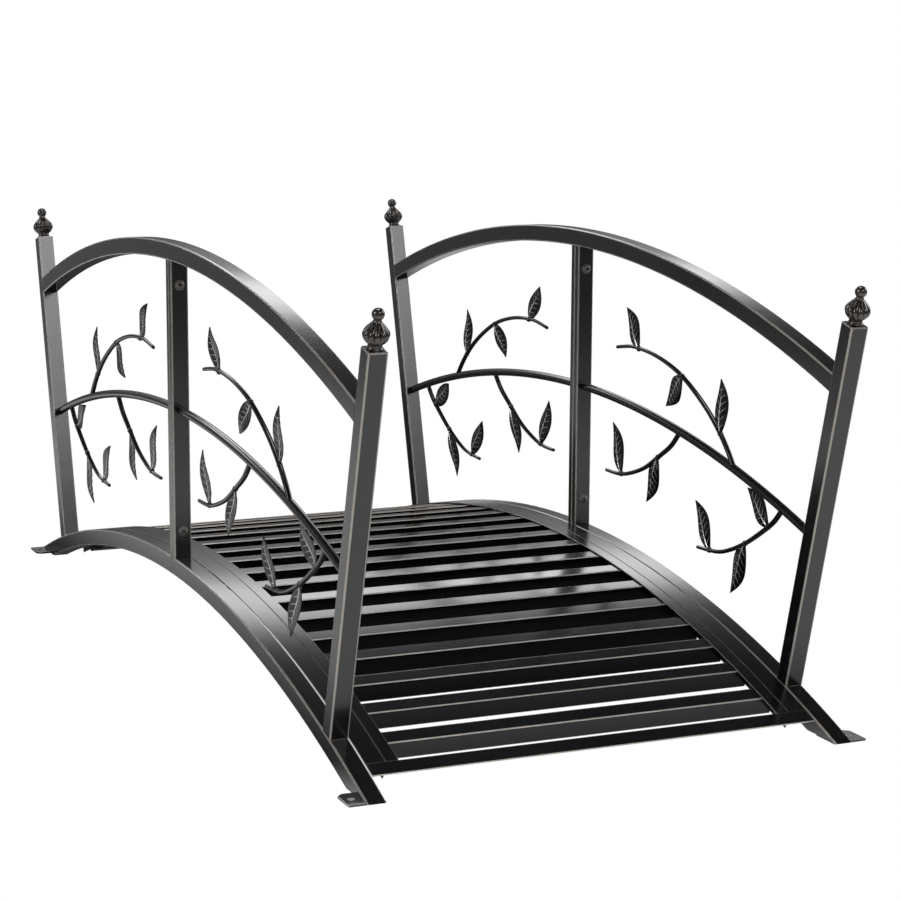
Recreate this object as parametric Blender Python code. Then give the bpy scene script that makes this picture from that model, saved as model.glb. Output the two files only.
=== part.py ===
"""Arched garden bridge of welded steel tube: two railings of two halves each, with a slatted deck between them.

Run it with: blender --background --python part.py. Metres, +Z up, floor at z = 0.
+X runs along the bridge to its front end, and +Y across it to its right railing.
"""

import math

import bmesh
import bpy
from mathutils import Matrix, Vector

# Overall
half_width = 0.330          # middle of the deck to the outer face of a railing
deck_radius = 2.170         # top face of the lower beams and of the deck
deck_crown = 0.1395         # height of that face at mid length
rail_radius = 2.228         # top face of the handrails
rail_crown = 0.590          # height of that face at mid length

# Stock
tube = 0.025                # square tube of beams, posts and handrails
rod = 0.012                 # round bar of the middle rails
stem = 0.0076               # round wire of the branches, at the root
stem_tip = 0.0052           # the same wire at its drawn-out end
flat = 0.002                # flat bars of the deck frame

# Foot plates
plate = 0.003
plate_length = 0.044        # along the bridge
plate_reach = 0.022         # part that stands out beyond the beam
plate_corner = 0.007        # cut corner
plate_hole = 0.009          # fixing hole
hole_setback = 0.021        # from the front edge of the plate to the middle of the hole

# End posts
post_angle = 16.72          # degrees along the beam from mid length to the post's foot
post_lean = 14.8            # degrees from upright
post_above_rail = 0.071     # along the post, from where the handrail's top face meets it to the post's top
post_edge = 0.002           # bevel round the top

# Middle rails and centre bars
middle_radius = 2.2485
middle_crown = 0.353
bar_width = 0.0125          # each half of a centre bar, along the bridge

# Deck
deck_angle = 19.14          # degrees along the beam from mid length to the end of the deck
end_bar_width = 0.0245
side_bar_width = 0.026      # flat leg of the side angles
side_bar_leg = 0.0245       # upright leg, which the ends of the slats meet
side_bar_gap = 0.001        # between lower beam and deck side bar
inner_bar_width = 0.017
seam = 0.0006               # groove where side bar meets inner bar
seam_depth = 0.001
slat_width = 0.025
slat_height = 0.025
slat_pitch = 0.0685
first_slat = 0.0320         # along the deck from mid length to the middle of the first slat
slats_per_half = 10

# Leaves
leaf_width = 0.034
leaf_thickness = 0.003

gap = 0.0003                # clearance between pieces that touch
past_cut = 1.2              # how far a rail is swept past the post, before it is cut off there
arc_steps = 24
rod_steps = 16

# Each branch: distance along X of its root on the middle rail, points (x, z) after the root, and
# leaves as (share of the way along the branch, x of the tip, z of the tip).
branches = [
    (0.468, [(0.450, 0.325), (0.427, 0.347), (0.396, 0.370), (0.355, 0.393), (0.311, 0.412), (0.266, 0.424),
             (0.220, 0.431), (0.170, 0.433), (0.135, 0.429), (0.117, 0.426)],
     [(0.82, 0.148, 0.488), (0.48, 0.272, 0.361), (0.15, 0.427, 0.421)]),
    (0.315, [(0.290, 0.307), (0.257, 0.287), (0.212, 0.262), (0.166, 0.246), (0.130, 0.239), (0.088, 0.238)],
     [(0.80, 0.110, 0.313), (0.32, 0.219, 0.213)]),
    (0.596, [(0.574, 0.251), (0.540, 0.229), (0.502, 0.208), (0.462, 0.191), (0.425, 0.181), (0.370, 0.177)],
     [(0.19, 0.505, 0.285), (0.86, 0.364, 0.242), (0.46, 0.466, 0.132)])]

# Finial: (height above the post, radius), turned about the post's axis.
finial_profile = [
    (0.0000, 0.0000), (0.0000, 0.0095), (0.0018, 0.0098), (0.0045, 0.0086), (0.0070, 0.0096), (0.0095, 0.0123),
    (0.0130, 0.0149), (0.0175, 0.0162), (0.0215, 0.0154), (0.0255, 0.0127), (0.0300, 0.0086), (0.0343, 0.0049),
    (0.0365, 0.0054), (0.0385, 0.0067), (0.0420, 0.0076), (0.0455, 0.0067), (0.0482, 0.0044), (0.0496, 0.0000)]
finial_sides = 20

coat = {"colour": (0.020, 0.020, 0.022), "metallic": 0.0, "roughness": 0.35}
enamel = {"colour": (0.030, 0.030, 0.032), "metallic": 0.6, "roughness": 0.2}

rail_offset = half_width - tube / 2     # middle of the deck to the middle plane of a railing
deck_inner = half_width - tube - side_bar_gap
slat_reach = deck_inner - side_bar_width - gap      # the slats pass under the inner bars


def clear_scene():
    for item in list(bpy.data.objects):
        bpy.data.objects.remove(item, do_unlink=True)


def make_material(name, finish):
    material = bpy.data.materials.new(name)
    material.use_nodes = True
    shader = material.node_tree.nodes["Principled BSDF"]
    shader.inputs["Base Color"].default_value = (*finish["colour"], 1.0)
    shader.inputs["Metallic"].default_value = finish["metallic"]
    shader.inputs["Roughness"].default_value = finish["roughness"]
    return material


def mesh_of(data, name, finish=coat, smooth=False):
    """A mesh with its own material from a bmesh, which it frees."""
    bmesh.ops.recalc_face_normals(data, faces=data.faces)
    mesh = bpy.data.meshes.new(name)
    data.to_mesh(mesh)
    data.free()
    mesh.materials.append(make_material(name + "_finish", finish))
    if smooth:
        mesh.shade_smooth()
        mesh.set_sharp_from_angle(angle=math.radians(40))
    return mesh


def place(name, mesh, parent=None, location=(0, 0, 0), lean=0.0):
    """An object at a place in its parent, leaning by an angle in the plane of the railings."""
    made = bpy.data.objects.new(name, mesh)
    bpy.context.scene.collection.objects.link(made)
    made.parent = parent
    made.location = location
    made.rotation_euler = (0, lean, 0)
    return made


def as_helper(made):
    made.hide_render = True
    made.display_type = "WIRE"
    return made


def add_boolean(target, helper, operation):
    modifier = target.modifiers.new(helper.name, "BOOLEAN")
    modifier.operation = operation
    modifier.solver = "EXACT"
    modifier.object = helper


def cut_off(data, point, normal):
    """Cuts the solid with a plane, keeps what lies behind it and closes the cut."""
    geometry = data.verts[:] + data.edges[:] + data.faces[:]
    cut = bmesh.ops.bisect_plane(data, geom=geometry, plane_co=point, plane_no=normal, clear_outer=True)
    rim = [part for part in cut["geom_cut"] if isinstance(part, bmesh.types.BMEdge)]
    bmesh.ops.edgeloop_fill(data, edges=rim)


def swept_arc(profile, first, last, steps=arc_steps):
    """A profile of (y, radius) points, spun about the Y axis from one angle to another, measured from +Z."""
    data = bmesh.new()
    corners = [data.verts.new((radius * math.sin(first), y, radius * math.cos(first))) for y, radius in profile]
    face = data.faces.new(corners)
    bmesh.ops.spin(data, geom=[*corners, *face.edges, face], cent=(0, 0, 0), axis=(0, 1, 0),
                   angle=last - first, steps=steps, use_duplicate=False)
    return data


def square_profile(radius):
    half = tube / 2
    return [(-half, radius - tube), (half, radius - tube), (half, radius), (-half, radius)]


def round_profile(radius, width, sides=10):
    turns = [2 * math.pi * (i + 0.5) / sides for i in range(sides)]
    return [(width / 2 * math.sin(turn), radius + width / 2 * math.cos(turn)) for turn in turns]


def half_gap_angle(radius):
    return math.asin(gap / 2 / radius)


def post_axis():
    """Foot of the end post on the beam, the direction up it and the direction out of its outer face."""
    angle = math.radians(post_angle)
    foot = Vector((deck_radius * math.sin(angle), 0, deck_crown - deck_radius * (1 - math.cos(angle))))
    lean = math.radians(post_lean)
    return foot, Vector((math.sin(lean), 0, math.cos(lean))), Vector((math.cos(lean), 0, -math.sin(lean)))


def post_length():
    """Up the post from its foot to where its middle line crosses the handrail's top face, and on past it."""
    foot, up, _ = post_axis()
    run = foot - Vector((0, 0, rail_crown - rail_radius))
    climb = run.dot(up)
    return math.sqrt(climb ** 2 - run.length_squared + rail_radius ** 2) - climb + post_above_rail


def cut_at_post(data, centre):
    """Ends a rail, spun about a centre at this height, on the inner face of the end post."""
    foot, _, out = post_axis()
    cut_off(data, foot - out * (tube / 2 + gap) - Vector((0, 0, centre)), out)


def box_of(width, depth, height, base=0.0):
    """A box centred on X and Y, that stands on its base."""
    data = bmesh.new()
    middle = Matrix.Translation((0, 0, base + height / 2))
    bmesh.ops.create_cube(data, size=1.0, matrix=middle @ Matrix.Diagonal((width, depth, height, 1.0)))
    return data


# ---- Pieces of a railing. Each is built for the front end, with the middle plane of the railing as y = 0.
# outward is 1 or -1, the side on which the railing's outer face lies.

def beam_mesh():
    foot_level = deck_radius - deck_crown + plate / 2
    data = swept_arc(square_profile(deck_radius), half_gap_angle(deck_radius - tube),
                     math.acos((foot_level - tube) / deck_radius))
    cut_off(data, (0, 0, foot_level), (0, 0, -1))
    return mesh_of(data, "beam")


def beam_toe():
    """Where the top face of the lower beam reaches the foot plate."""
    return deck_radius * math.sin(math.acos((deck_radius - deck_crown + plate) / deck_radius))


def plate_mesh(outward):
    inner, outer = -tube / 2, tube / 2 + plate_reach
    outline = [(0, inner), (0, outer), (plate_corner - plate_length, outer), (-plate_length, outer - plate_corner),
               (-plate_length, inner)]
    data = bmesh.new()
    face = data.faces.new([data.verts.new((x, outward * y, 0)) for x, y in outline])
    grown = bmesh.ops.extrude_face_region(data, geom=[face])["geom"]
    bmesh.ops.translate(data, vec=(0, 0, plate), verts=[v for v in grown if isinstance(v, bmesh.types.BMVert)])
    return mesh_of(data, "foot_plate")


def hole_mesh():
    data = bmesh.new()
    bmesh.ops.create_cone(data, cap_ends=True, segments=16, radius1=plate_hole / 2, radius2=plate_hole / 2,
                          depth=plate * 4)
    return mesh_of(data, "foot_hole")


def post_mesh():
    height = post_length()
    data = box_of(tube, tube, height - gap * 2, gap * 2)
    top = [edge for edge in data.edges if all(vert.co.z > height / 2 for vert in edge.verts)]
    bmesh.ops.bevel(data, geom=top, offset=post_edge, segments=1, affect="EDGES")
    return mesh_of(data, "post")


def finial_mesh():
    data = bmesh.new()
    points = [data.verts.new((radius, 0, height)) for height, radius in finial_profile]
    edges = [data.edges.new(pair) for pair in zip(points, points[1:])]
    bmesh.ops.spin(data, geom=[*points, *edges], cent=(0, 0, 0), axis=(0, 0, 1), angle=2 * math.pi,
                   steps=finial_sides, use_duplicate=False)
    bmesh.ops.remove_doubles(data, verts=data.verts, dist=1e-5)
    return mesh_of(data, "finial", enamel, smooth=True)


def handrail_mesh():
    foot, up, _ = post_axis()
    past_post = foot.x + up.x * post_length() * past_cut
    data = swept_arc(square_profile(rail_radius), half_gap_angle(rail_radius - tube), math.asin(past_post / rail_radius))
    cut_at_post(data, rail_crown - rail_radius)
    return mesh_of(data, "handrail")


def centre_bar_mesh():
    """Half of the bar at mid length: it stands between the beam and the handrail, just clear of both arcs."""
    sag = bar_width ** 2 / (2 * rail_radius)
    height = rail_crown - tube - deck_crown - 2 * gap - sag
    data = box_of(bar_width - gap / 2, tube, height)
    return mesh_of(data, "centre_bar")


def branch_mesh(root, points):
    """A bent round wire that tapers to its end, as a curve with a bevel and filled caps."""
    curve = bpy.data.curves.new("branch", "CURVE")
    curve.dimensions = "3D"
    curve.bevel_depth = stem / 2
    curve.bevel_resolution = 2
    curve.use_fill_caps = True
    spline = curve.splines.new("POLY")
    path = [root, *points]
    spline.points.add(len(path) - 1)
    for number, (x, z) in enumerate(path):
        spline.points[number].co = (x, 0, z, 1)
        spline.points[number].radius = 1 + (stem_tip / stem - 1) * number / (len(path) - 1)
    holder = place("branch_path", curve)
    graph = bpy.context.evaluated_depsgraph_get()
    mesh = bpy.data.meshes.new_from_object(holder.evaluated_get(graph))
    bpy.data.objects.remove(holder, do_unlink=True)
    return mesh


def along_path(path, share):
    """The point this share of the way along a path."""
    runs = [(Vector(b) - Vector(a)).length for a, b in zip(path, path[1:])]
    left = share * sum(runs)
    for a, b, run in zip(path, path[1:], runs):
        if left <= run:
            return Vector(a).lerp(Vector(b), left / run)
        left -= run
    return Vector(path[-1])


def leaf_mesh(root, tip):
    """A pointed leaf of flat bar in the plane of the railing, from (x, z) on the branch to its tip."""
    length = (tip - root).length
    shares = [0.0, 0.12, 0.3, 0.48, 0.68, 0.86, 1.0]
    widths = [leaf_width / 2 * max(math.sin(math.pi * share ** 0.87), 0.12) for share in shares]
    edge = [(width, share * length) for share, width in zip(shares, widths)]
    outline = edge + [(-width, height) for width, height in reversed(edge)]
    data = bmesh.new()
    face = data.faces.new([data.verts.new((x, -leaf_thickness / 2, z)) for x, z in outline])
    grown = bmesh.ops.extrude_face_region(data, geom=[face])["geom"]
    bmesh.ops.translate(data, vec=(0, leaf_thickness, 0),
                        verts=[v for v in grown if isinstance(v, bmesh.types.BMVert)])
    along = (tip - root).normalized()
    turn = Matrix.Rotation(math.atan2(along.x, along.y), 4, "Y")
    bmesh.ops.transform(data, matrix=Matrix.Translation((root.x, 0, root.y)) @ turn, verts=data.verts)
    return mesh_of(data, "leaf")


def middle_rail_height(x):
    return middle_crown - middle_radius + math.sqrt(middle_radius ** 2 - x ** 2)


def vine_mesh():
    """Middle rail with its branches and leaves, joined as they are welded, seen from the rail's arc centre."""
    data = swept_arc(round_profile(middle_radius, rod), math.asin((bar_width + gap) / (middle_radius - rod / 2)),
                     math.asin(post_axis()[0].x * past_cut / middle_radius), rod_steps)
    centre = middle_crown - middle_radius
    cut_at_post(data, centre)
    vine = place("vine", mesh_of(data, "vine"), location=(0, 0, centre))
    helpers = []
    for root_x, points, leaves in branches:
        path = [(root_x, middle_rail_height(root_x)), *points]
        helpers.append(place("branch", branch_mesh(path[0], points)))
        for share, tip_x, tip_z in leaves:
            leaf = leaf_mesh(along_path(path, share), Vector((tip_x, tip_z)))
            helpers.append(place("leaf", leaf))
    for helper in helpers:
        add_boolean(vine, as_helper(helper), "UNION")
    joined = bpy.data.meshes.new_from_object(vine.evaluated_get(bpy.context.evaluated_depsgraph_get()))
    for item in (vine, *helpers):
        bpy.data.objects.remove(item, do_unlink=True)
    joined.materials.clear()
    joined.materials.append(make_material("vine_finish", coat))
    joined.shade_smooth()
    joined.set_sharp_from_angle(angle=math.radians(40))
    return joined


def on_deck(angle, below):
    """A point this far below the arc of the deck, at an angle from mid length, seen from the arc's centre."""
    return Vector((math.sin(angle), 0, math.cos(angle))) * (deck_radius - below)


def chord_sag(width):
    """How far the middle of a flat bar lies below the arc that its long edges touch."""
    return deck_radius - math.sqrt(deck_radius ** 2 - (width / 2) ** 2)


def end_bar_angle():
    return math.radians(deck_angle) - math.asin(end_bar_width / 2 / deck_radius)


def deck_rail_mesh(outward):
    """Side angle and inner flat bar of one quarter of the deck frame, welded side by side with a seam."""
    outer = deck_inner - rail_offset
    meet = outer - side_bar_width
    inner = meet - inner_bar_width
    top, low = deck_radius, deck_radius - flat
    profile = [(outer, top), (outer, low), (meet + flat, low), (meet + flat, top - side_bar_leg),
               (meet, top - side_bar_leg), (meet, low), (inner, low), (inner, top), (meet - seam, top),
               (meet, top - seam_depth), (meet + seam, top)]
    data = swept_arc([(outward * y, radius) for y, radius in profile],
                     half_gap_angle(top - side_bar_leg), math.radians(deck_angle))
    angle = end_bar_angle()
    out = Vector((math.cos(angle), 0, -math.sin(angle)))
    cut_off(data, on_deck(angle, chord_sag(end_bar_width)) - out * (end_bar_width / 2 + gap), out)
    return mesh_of(data, "deck_rail")


# ---- Assembly

def build_quarter(quarter, side, end, meshes):
    """One half of one railing, with its quarter of the deck frame. The back end is the front end turned round."""
    outward = side * end
    frame = place(quarter, None, location=(0, side * rail_offset, 0))
    frame.rotation_euler.z = 0 if end == 1 else math.pi
    foot, up, _ = post_axis()
    lean = math.radians(post_lean)
    deck_centre, rail_centre = deck_crown - deck_radius, rail_crown - rail_radius

    beam = place(quarter + "_beam", meshes["beam"], frame, (0, 0, deck_centre))
    toe = beam_toe()
    hole_place = (toe - hole_setback, outward * (tube / 2 + plate_reach / 2), 0)
    add_boolean(beam, as_helper(place(quarter + "_foot", meshes["plate", outward], frame, (toe, 0, 0))), "UNION")
    add_boolean(beam, as_helper(place(quarter + "_hole", meshes["hole"], frame, hole_place)), "DIFFERENCE")

    place(quarter + "_post", meshes["post"], frame, foot, lean)
    place(quarter + "_finial", meshes["finial"], frame, foot + up * (post_length() + gap), lean)
    place(quarter + "_handrail", meshes["handrail"], frame, (0, 0, rail_centre))
    place(quarter + "_centre_bar", meshes["centre_bar"], frame, (bar_width / 2 + gap / 4, 0, deck_crown + gap))
    place(quarter + "_vine", meshes["vine"], frame, (0, 0, middle_crown - middle_radius))
    place(quarter + "_deck_rail", meshes["deck_rail", outward], frame, (0, 0, deck_centre))


def build_deck_end(name, end):
    """End bar and slats of one half of the deck, numbered from mid length."""
    frame = place(name + "_deck", None, location=(0, 0, deck_crown - deck_radius))
    frame.rotation_euler.z = 0 if end == 1 else math.pi
    angle = end_bar_angle()
    bar = mesh_of(box_of(end_bar_width, 2 * deck_inner, flat, -flat), "end_bar")
    place(name + "_end_bar", bar, frame, on_deck(angle, chord_sag(end_bar_width)), angle)
    slat = mesh_of(box_of(slat_width, 2 * slat_reach, slat_height, -slat_height), "slat")
    below = flat + gap + chord_sag(slat_width)
    for number in range(slats_per_half):
        angle = (first_slat + slat_pitch * number) / deck_radius
        place(f"{name}_slat_{number + 1:02d}", slat, frame, on_deck(angle, below), angle)


clear_scene()
shared = {"beam": beam_mesh(), "hole": hole_mesh(), "post": post_mesh(), "finial": finial_mesh(),
          "handrail": handrail_mesh(), "centre_bar": centre_bar_mesh(), "vine": vine_mesh()}
for turned in (1, -1):
    shared["plate", turned] = plate_mesh(turned)
    shared["deck_rail", turned] = deck_rail_mesh(turned)
for side_name, side_sign in (("left", -1), ("right", 1)):
    for end_name, end_sign in (("front", 1), ("back", -1)):
        build_quarter(f"{side_name}_{end_name}", side_sign, end_sign, shared)
for end_name, end_sign in (("front", 1), ("back", -1)):
    build_deck_end(end_name, end_sign)
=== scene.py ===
import math

import bmesh
import bpy
import numpy as np
from mathutils import Matrix, Vector


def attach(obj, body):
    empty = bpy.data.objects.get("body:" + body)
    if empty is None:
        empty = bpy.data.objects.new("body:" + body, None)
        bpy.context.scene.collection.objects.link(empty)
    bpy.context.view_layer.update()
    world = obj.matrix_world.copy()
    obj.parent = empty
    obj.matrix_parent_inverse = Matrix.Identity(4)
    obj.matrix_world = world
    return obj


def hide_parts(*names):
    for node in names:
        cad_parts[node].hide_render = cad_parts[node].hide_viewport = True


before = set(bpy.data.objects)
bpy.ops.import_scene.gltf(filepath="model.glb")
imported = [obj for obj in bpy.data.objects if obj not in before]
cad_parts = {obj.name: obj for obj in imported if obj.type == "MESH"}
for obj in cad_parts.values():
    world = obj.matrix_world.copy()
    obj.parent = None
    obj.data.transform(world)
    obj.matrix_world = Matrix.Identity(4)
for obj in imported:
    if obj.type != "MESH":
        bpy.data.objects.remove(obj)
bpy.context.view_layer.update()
print("loaded the frame")

# Metres throughout: +X along the bridge to its front end, +Y across it to its right railing, +Z up.
# The arcs of the bridge, shared by everything that stands on them. Heights are those of the top faces at mid length.
bridge = {
    "halfWidth": 0.330,
    "deckRadius": 2.170, "deckCrown": 0.1395,
    "railRadius": 2.228, "railCrown": 0.590,
    "middleRadius": 2.2485, "middleCrown": 0.353,      # middle of the round rail, not its top
    "tube": 0.025, "tubeCorner": 0.0021,
    "postAngle": 16.72, "postLean": 14.8, "postLength": 0.50297,
    "halfGap": 0.00007,      # half of the hairline between the halves at mid length, as an angle in radians
    "sunk": 0.0006,          # how far a rail runs into the post that it is welded to, and a bar into its tube
    "midRailGap": 0.0056,    # the round rail stops at the centre bar, as an angle in radians
    "handrailSpan": 20, "midRailSpan": 18,      # degrees, past the post, where they are cut to its face
}
railOffset = bridge["halfWidth"] - bridge["tube"] / 2
deckInner = bridge["halfWidth"] - bridge["tube"] - 0.001      # a hairline beside the lower beam
quarters = [(f"{side}_{end}", sideSign, endSign) for side, sideSign in (("left", -1), ("right", 1))
            for end, endSign in (("front", 1), ("back", -1))]


# Helpers for nodes and materials

def addNode(tree, kind, inputs=None, **settings):
    node = tree.nodes.new(kind)
    for name, value in settings.items():
        setattr(node, name, value)
    for key, value in (inputs or {}).items():
        if isinstance(value, bpy.types.NodeSocket):
            tree.links.new(value, node.inputs[key])
        else:
            node.inputs[key].default_value = value
    return node


def linearOf(hexCode):
    channels = [int(hexCode[i:i + 2], 16) / 255 for i in (1, 3, 5)]
    return (*[c / 12.92 if c <= 0.04045 else ((c + 0.055) / 1.055) ** 2.4 for c in channels], 1.0)


def sprayedFinish(name, look):
    # Grain of the sprayed film over a slow drift of gloss, both in object space so that the grain keeps its real size
    material = bpy.data.materials.new(name)
    material.use_nodes = True
    tree = material.node_tree
    shader = tree.nodes["Principled BSDF"]
    place = addNode(tree, "ShaderNodeTexCoord").outputs["Object"]
    peel = addNode(tree, "ShaderNodeTexNoise", {"Vector": place, "Scale": 1000 / look["peelMm"], "Detail": 0.0})
    bump = addNode(tree, "ShaderNodeBump", {"Height": peel.outputs["Fac"], "Distance": look["peelDeepMm"] / 1000})
    drift = addNode(tree, "ShaderNodeTexNoise", {"Vector": place, "Scale": 1000 / look["driftMm"], "Detail": 1.0})
    gloss = addNode(tree, "ShaderNodeMapRange", {"Value": drift.outputs["Fac"], "From Min": 0.3, "From Max": 0.7,
                                                 "To Min": look["roughness"][0], "To Max": look["roughness"][1]})
    tint = addNode(tree, "ShaderNodeMix", {"Factor": drift.outputs["Fac"], "A": linearOf(look["colours"][0]),
                                           "B": linearOf(look["colours"][1])}, data_type="RGBA")
    # On corners and raised veins a pale, warm metallic colour is painted in, as a highlight along the edges
    corner = addNode(tree, "ShaderNodeAttribute", attribute_name="corner").outputs["Fac"]
    metal = addNode(tree, "ShaderNodeMapRange", {"Value": corner, "To Min": look["metal"],
                                                 "To Max": look["paintedHighlightMetal"]})
    paintedEdge = addNode(tree, "ShaderNodeMix", {"Factor": corner, "A": tint.outputs["Result"],
                                           "B": linearOf(look["paintedHighlightColour"])}, data_type="RGBA")
    tree.links.new(metal.outputs[0], shader.inputs["Metallic"])
    tree.links.new(paintedEdge.outputs["Result"], shader.inputs["Base Color"])
    tree.links.new(gloss.outputs["Result"], shader.inputs["Roughness"])
    tree.links.new(bump.outputs["Normal"], shader.inputs["Normal"])
    shader.inputs["IOR"].default_value = look["ior"]
    return material


# Black polyester powder, baked on: broad soft reflections that break up a little along the flats, and a pale metallic
# highlight painted along the rounded corners
blackCoat = {"peelMm": 22, "peelDeepMm": 0.04, "driftMm": 220, "roughness": (0.15, 0.19),
             "colours": ("#08080a", "#0d0d0f"), "paintedHighlightColour": "#a8a19a", "paintedHighlightMetal": 0.45, "metal": 0.0,
             "ior": 1.5}
# The same powder on the pressed leaves: it lies thick and dull on the blades, and a near-white metallic highlight is
# painted on the crests of the veins, which stand out
leafCoat = {**blackCoat, "peelMm": 12, "driftMm": 40, "roughness": (0.24, 0.30), "colours": ("#040405", "#08080a"),
            "paintedHighlightColour": "#dad6d1", "paintedHighlightMetal": 0.8, "ior": 1.33}
# Dark gloss enamel over the cast knobs: a smoky metallic sheen, with tight highlights on the lobes
glossEnamel = {"peelMm": 8, "peelDeepMm": 0.02, "driftMm": 15, "roughness": (0.12, 0.18),
               "colours": ("#3f3c3a", "#4a4744"), "paintedHighlightColour": "#d9cfc4", "paintedHighlightMetal": 0.9, "metal": 0.75,
               "ior": 1.52}
materials = {"black_coat": sprayedFinish("blackPowderCoat", blackCoat),
             "finial_enamel": sprayedFinish("blackGlossEnamel", glossEnamel),
             "leaf": sprayedFinish("blackPowderCoatOnLeaves", leafCoat)}


# Helpers for meshes and pieces

def newTree(name, sizes):
    # A Geometry Nodes group with one named input for each size, and the socket to read it from
    tree = bpy.data.node_groups.new(name, "GeometryNodeTree")
    tree.interface.new_socket("Geometry", in_out="INPUT", socket_type="NodeSocketGeometry")
    for label, kind in {**sizes, "Material": "Material"}.items():
        tree.interface.new_socket(label, in_out="INPUT", socket_type="NodeSocket" + kind)
    tree.interface.new_socket("Geometry", in_out="OUTPUT", socket_type="NodeSocketGeometry")
    return tree, addNode(tree, "NodeGroupInput").outputs


def endTree(tree, entry, geometry):
    whole = addNode(tree, "GeometryNodeRealizeInstances", {"Geometry": geometry})
    dressed = addNode(tree, "GeometryNodeSetMaterial", {"Geometry": whole.outputs[0], "Material": entry["Material"]})
    addNode(tree, "NodeGroupOutput", {0: dressed.outputs[0]})
    return tree


def growMesh(tree, values, base=None):
    # Runs a tree on a curve, a point set or nothing, and returns the plain mesh
    holder = bpy.data.objects.new("holder", base or bpy.data.meshes.new("empty"))
    bpy.context.scene.collection.objects.link(holder)
    modifier = holder.modifiers.new(tree.name, "NODES")
    modifier.node_group = tree
    for item in tree.interface.items_tree:
        if item.in_out == "INPUT" and item.name in values:
            modifier[item.identifier] = values[item.name]
    mesh = bpy.data.meshes.new_from_object(holder.evaluated_get(bpy.context.evaluated_depsgraph_get()))
    bpy.data.objects.remove(holder, do_unlink=True)
    return mesh


def helperObject(name, data):
    # An object that a tree copies from; it is removed once the copies are made
    made = bpy.data.objects.new(name, data)
    bpy.context.scene.collection.objects.link(made)
    return made


def ringStack(rings):
    # A closed skin over a stack of rings of points, with a flat cap at each end
    rings = np.asarray(rings, float)
    count, around = rings.shape[:2]
    faces = [(i * around + j, i * around + (j + 1) % around, (i + 1) * around + (j + 1) % around, (i + 1) * around + j)
             for i in range(count - 1) for j in range(around)]
    faces += [tuple(range(around))[::-1], tuple(range((count - 1) * around, count * around))]
    mesh = bpy.data.meshes.new("stack")
    mesh.from_pydata(rings.reshape(-1, 3).tolist(), [], faces)
    return mesh


def roundedOutline(corners, radii, segments=4):
    # A closed outline with each corner rounded to its own radius
    outline = []
    for i, corner in enumerate(corners):
        here, before, after = Vector(corner), Vector(corners[i - 1]), Vector(corners[(i + 1) % len(corners)])
        back, ahead = (before - here).normalized(), (after - here).normalized()
        half = back.angle(ahead) / 2
        radius = radii[i] if isinstance(radii, (list, tuple)) else radii
        centre = here + (back + ahead).normalized() * radius / math.sin(half)
        first, last = here + back * radius / math.tan(half) - centre, here + ahead * radius / math.tan(half) - centre
        start = math.atan2(first.y, first.x)
        sweep = (math.atan2(last.y, last.x) - start + math.pi) % (2 * math.pi) - math.pi
        for step in range(segments + 1):
            turn = start + sweep * step / segments
            outline.append((centre.x + radius * math.cos(turn), centre.y + radius * math.sin(turn)))
    return outline


def squareOutline(width, depth, radius, segments=4):
    corners = [(width / 2, depth / 2), (-width / 2, depth / 2), (-width / 2, -depth / 2), (width / 2, -depth / 2)]
    return roundedOutline(corners, radius, segments)


def roundedBar(width, depth, low, high, corner, edge, steps=4):
    # An upright bar with rounded long corners and softened ends
    rings = []
    turns = [math.pi / 2 * step / steps for step in range(steps + 1)]
    ends = [(low + edge * (1 - math.sin(turn)), edge * (1 - math.cos(turn))) for turn in reversed(turns)]
    ends += [(high - edge * (1 - math.sin(turn)), edge * (1 - math.cos(turn))) for turn in turns]
    for height, inset in ends:
        outline = squareOutline(width - 2 * inset, depth - 2 * inset, max(corner - inset, corner * 0.3))
        rings.append([(x, y, height) for x, y in outline])
    return ringStack(rings)


def cutOff(mesh, point, normal):
    # Cuts a closed mesh with a plane, keeps what lies behind it and closes the cut
    data = bmesh.new()
    data.from_mesh(mesh)
    bmesh.ops.remove_doubles(data, verts=data.verts, dist=1e-6)
    geometry = data.verts[:] + data.edges[:] + data.faces[:]
    cut = bmesh.ops.bisect_plane(data, geom=geometry, plane_co=point, plane_no=normal, clear_outer=True)
    rim = [part for part in cut["geom_cut"] if isinstance(part, bmesh.types.BMEdge)]
    bmesh.ops.edgeloop_fill(data, edges=rim)
    data.to_mesh(mesh)
    data.free()
    return mesh


def joined(meshes):
    data = bmesh.new()
    for mesh in meshes:
        data.from_mesh(mesh)
    whole = bpy.data.meshes.new("joined")
    data.to_mesh(whole)
    data.free()
    return whole


def moved(mesh, matrix):
    copy = mesh.copy()
    copy.transform(matrix)
    return copy


def quarterPlace(side, end):
    # The middle plane of a railing; the back end is the front end turned half round
    return Matrix.Translation((0, side * railOffset, 0)) @ Matrix.Rotation(0 if end == 1 else math.pi, 4, "Z")


cornerHighlightMark = {"widest": 0.0009, "turned": 6, "level": 0.9995}      # metres, degrees, height of the face's normal


def paintCornerHighlights(data, paintedShine):
    # Marks the narrow faces of rounded corners, each turned against the face beside it, for the finish to paint a
    # highlight on. Faces that lie level stay unmarked
    layer = data.faces.layers.float.new("corner")
    for face in data.faces:
        width = face.calc_area() / max(edge.calc_length() for edge in face.edges)
        turned = any(edge.calc_face_angle(0.0) > math.radians(cornerHighlightMark["turned"]) for edge in face.edges)
        level = abs(face.normal.z) >= cornerHighlightMark["level"]
        face[layer] = paintedShine if turned and width < cornerHighlightMark["widest"] and not level else 0.0


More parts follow.
